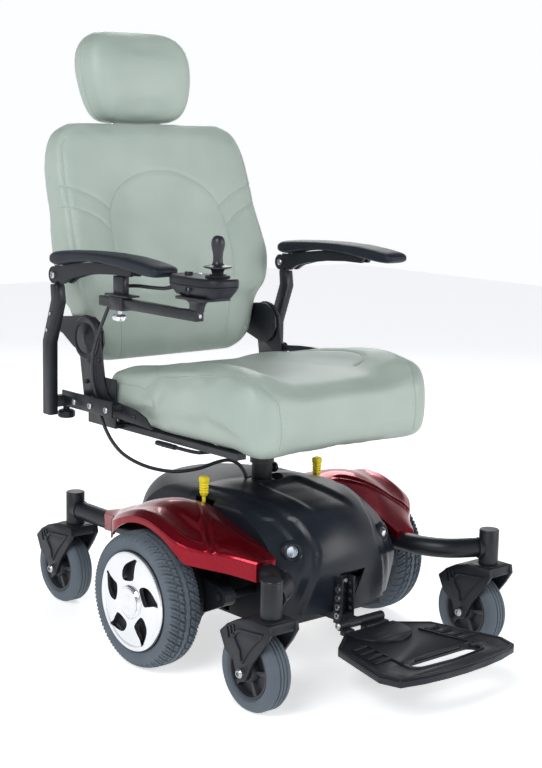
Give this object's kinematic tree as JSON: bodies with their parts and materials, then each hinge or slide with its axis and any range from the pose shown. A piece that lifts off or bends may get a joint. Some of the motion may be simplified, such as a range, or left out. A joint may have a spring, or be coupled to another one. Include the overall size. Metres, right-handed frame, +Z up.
{
  "type": "power wheelchair",
  "caption": "Mid-wheel-drive power wheelchair with swivelling vinyl seat, reclining back, headrest, flip-up arms, joystick, footplate and swivel casters.",
  "frame": {"origin": "on the floor under the middle of the chair, with the drive wheels' axle at y = 0", "axes": "+Z up, -Y the way the occupant faces, +X the occupant's left hand"},
  "size_m": [0.676, 1.0823, 1.2056],
  "materials": {
    "black_frame": "satin black powder coat",
    "red_shell": "metallic candy red, clear coated",
    "charcoal_shell": "satin charcoal moulding",
    "black_plastic": "fine textured black moulding",
    "tyre_rubber": "ribbed dark grey solid tyre",
    "rim_plastic": "dark grey moulded rim",
    "chrome": "bright plated",
    "steel": "machined steel",
    "battery_case": "plain moulded battery case",
    "sage_vinyl": "sage grey-green vinyl with stitched seams",
    "pad_vinyl": "dark blue-black textured moulded pad",
    "yellow_plastic": "yellow ribbed grip",
    "lens": "clear lens",
    "cable_jacket": "smooth black jacket"
  },
  "bodies": {
    "base": {"chassis": "black_frame", "battery_front": "battery_case", "battery_rear": "battery_case", "controller": "steel", "front_shroud": "charcoal_shell", "rear_shroud": "black_plastic", "foot_bracket": "black_frame", "fender_right": "red_shell", "fender_left": "red_shell", "headlight_right": "lens", "headlight_left": "lens", "caster_arm_front_right": "black_frame", "caster_arm_front_left": "black_frame", "caster_arm_rear_right": "black_frame", "caster_arm_rear_left": "black_frame"},
    "footrest": {"footplate": "black_plastic"},
    "seat": {"seat_post": "steel", "seat_frame": "black_frame", "seat_cushion": "sage_vinyl", "recliner_plate_right": "black_frame", "recliner_plate_left": "black_frame", "arm_post_right": "black_frame", "arm_post_left": "black_frame", "cable_lower": "cable_jacket"},
    "seat_release": {"swivel_lever": "black_plastic"},
    "recline_release": {"recline_lever": "black_plastic"},
    "back": {"back_frame": "black_frame", "back_cushion": "sage_vinyl"},
    "head": {"headrest_posts": "chrome", "headrest": "sage_vinyl"},
    "arm_right": {"arm_bracket_right": "black_plastic", "arm_pad_right": "pad_vinyl", "joystick_bracket": "black_frame", "joystick_pod": "black_plastic", "cable_upper": "cable_jacket"},
    "arm_left": {"arm_bracket_left": "black_plastic", "arm_pad_left": "pad_vinyl"},
    "gimbal": {"joystick_gimbal": "black_plastic"},
    "stick": {"joystick_stick": "black_plastic"},
    "power": {"power_button": "steel"},
    "speed": {"speed_knob": "black_plastic"},
    "clamp_screw": {"thumb_knob": "chrome"},
    "swing_right": {"motor_right": "black_plastic"},
    "wheel_right": {"drive_tyre_right": "tyre_rubber", "drive_rim_right": "rim_plastic", "wheel_cover_right": "chrome"},
    "release_right": {"freewheel_lever_right": "yellow_plastic"},
    "fork_front_right": {"caster_fork_front_right": "black_plastic"},
    "caster_front_right": {"caster_wheel_front_right": "tyre_rubber"},
    "fork_rear_right": {"caster_fork_rear_right": "black_plastic"},
    "caster_rear_right": {"caster_wheel_rear_right": "tyre_rubber"},
    "swing_left": {"motor_left": "black_plastic"},
    "wheel_left": {"drive_tyre_left": "tyre_rubber", "drive_rim_left": "rim_plastic", "wheel_cover_left": "chrome"},
    "release_left": {"freewheel_lever_left": "yellow_plastic"},
    "fork_front_left": {"caster_fork_front_left": "black_plastic"},
    "caster_front_left": {"caster_wheel_front_left": "tyre_rubber"},
    "fork_rear_left": {"caster_fork_rear_left": "black_plastic"},
    "caster_rear_left": {"caster_wheel_rear_left": "tyre_rubber"}
  },
  "joints": [
    {"name": "suspension_right", "type": "hinge", "parent": "base", "child": "swing_right", "pos_m": [-0.211, -0.13, 0.15], "axis": [1, 0, 0], "range_deg": [0, 4], "stiffness_Nm_per_rad": 600, "springref_deg": -9.74},
    {"name": "drive_spin_right", "type": "hinge", "parent": "swing_right", "child": "wheel_right", "pos_m": [-0.295, 0, 0.13], "axis": [1, 0, 0], "continuous": true},
    {"name": "freewheel_right", "type": "hinge", "parent": "base", "child": "release_right", "pos_m": [-0.1484, 0.0136, 0.282], "axis": [-1, 0, 0], "range_deg": [0, 25]},
    {"name": "caster_swivel_front_right", "type": "hinge", "parent": "base", "child": "fork_front_right", "pos_m": [-0.2817, -0.3425, 0.2], "axis": [0, 0, 1], "continuous": true},
    {"name": "caster_spin_front_right", "type": "hinge", "parent": "fork_front_right", "child": "caster_front_right", "pos_m": [-0.2817, -0.3055, 0.075], "axis": [1, 0, 0], "continuous": true},
    {"name": "caster_swivel_rear_right", "type": "hinge", "parent": "base", "child": "fork_rear_right", "pos_m": [-0.193, 0.391, 0.2], "axis": [0, 0, 1], "continuous": true},
    {"name": "caster_spin_rear_right", "type": "hinge", "parent": "fork_rear_right", "child": "caster_rear_right", "pos_m": [-0.193, 0.428, 0.075], "axis": [1, 0, 0], "continuous": true},
    {"name": "suspension_left", "type": "hinge", "parent": "base", "child": "swing_left", "pos_m": [0.211, -0.13, 0.15], "axis": [1, 0, 0], "range_deg": [0, 4], "stiffness_Nm_per_rad": 600, "springref_deg": -9.74},
    {"name": "drive_spin_left", "type": "hinge", "parent": "swing_left", "child": "wheel_left", "pos_m": [0.295, 0, 0.13], "axis": [1, 0, 0], "continuous": true},
    {"name": "freewheel_left", "type": "hinge", "parent": "base", "child": "release_left", "pos_m": [0.1484, 0.0136, 0.282], "axis": [-1, 0, 0], "range_deg": [0, 25]},
    {"name": "caster_swivel_front_left", "type": "hinge", "parent": "base", "child": "fork_front_left", "pos_m": [0.2817, -0.3425, 0.2], "axis": [0, 0, 1], "continuous": true},
    {"name": "caster_spin_front_left", "type": "hinge", "parent": "fork_front_left", "child": "caster_front_left", "pos_m": [0.2817, -0.3055, 0.075], "axis": [1, 0, 0], "continuous": true},
    {"name": "caster_swivel_rear_left", "type": "hinge", "parent": "base", "child": "fork_rear_left", "pos_m": [0.193, 0.391, 0.2], "axis": [0, 0, 1], "continuous": true},
    {"name": "caster_spin_rear_left", "type": "hinge", "parent": "fork_rear_left", "child": "caster_rear_left", "pos_m": [0.193, 0.428, 0.075], "axis": [1, 0, 0], "continuous": true},
    {"name": "footplate_flip", "type": "hinge", "parent": "base", "child": "footrest", "pos_m": [0, -0.283, 0.102], "axis": [-1, 0, 0], "range_deg": [0, 85]},
    {"name": "seat_swivel", "type": "hinge", "parent": "base", "child": "seat", "pos_m": [0, 0.015, 0.392], "axis": [0, 0, 1], "range_deg": [-90, 90], "deforming": ["cable_lower"]},
    {"name": "swivel_release", "type": "hinge", "parent": "seat", "child": "seat_release", "pos_m": [-0.066, -0.062, 0.408], "axis": [0, 0, 1], "range_deg": [0, 15], "stiffness_Nm_per_rad": 0.5},
    {"name": "back_recline", "type": "hinge", "parent": "seat", "child": "back", "pos_m": [0, 0.283, 0.588], "axis": [1, 0, 0], "range_deg": [-30, 80]},
    {"name": "recline_release", "type": "hinge", "parent": "seat", "child": "recline_release", "pos_m": [0.246, 0.236, 0.536], "axis": [-1, 0, 0], "range_deg": [0, 25], "stiffness_Nm_per_rad": 1.5, "springref_deg": -5.73},
    {"name": "headrest_height", "type": "slide", "parent": "back", "child": "head", "axis": [0, 0.1977, 0.9803], "range_m": [0, 0.06]},
    {"name": "arm_flip_right", "type": "hinge", "parent": "seat", "child": "arm_right", "pos_m": [-0.296, 0.295, 0.717], "axis": [-1, 0, 0], "range_deg": [0, 100], "deforming": ["cable_upper", "cable_lower"]},
    {"name": "arm_flip_left", "type": "hinge", "parent": "seat", "child": "arm_left", "pos_m": [0.296, 0.295, 0.717], "axis": [-1, 0, 0], "range_deg": [0, 100]},
    {"name": "joystick_fore_aft", "type": "hinge", "parent": "arm_right", "child": "gimbal", "pos_m": [-0.273, -0.172, 0.745], "axis": [1, 0, 0], "range_deg": [-15, 15], "stiffness_Nm_per_rad": 0.15},
    {"name": "joystick_side", "type": "hinge", "parent": "gimbal", "child": "stick", "pos_m": [-0.273, -0.172, 0.745], "axis": [0, 1, 0], "range_deg": [-15, 15], "stiffness_Nm_per_rad": 0.15},
    {"name": "power_press", "type": "slide", "parent": "arm_right", "child": "power", "axis": [0, 0, -1], "range_m": [0, 0.0015], "stiffness_N_per_m": 400},
    {"name": "speed_turn", "type": "hinge", "parent": "arm_right", "child": "speed", "pos_m": [-0.287, -0.108, 0.753], "axis": [0, 0, 1], "range_deg": [-135, 135]},
    {"name": "clamp_turn", "type": "hinge", "parent": "arm_right", "child": "clamp_screw", "pos_m": [-0.296, 0.088, 0.66], "axis": [0, 0, 1], "range_deg": [0, 360]}
  ]
}
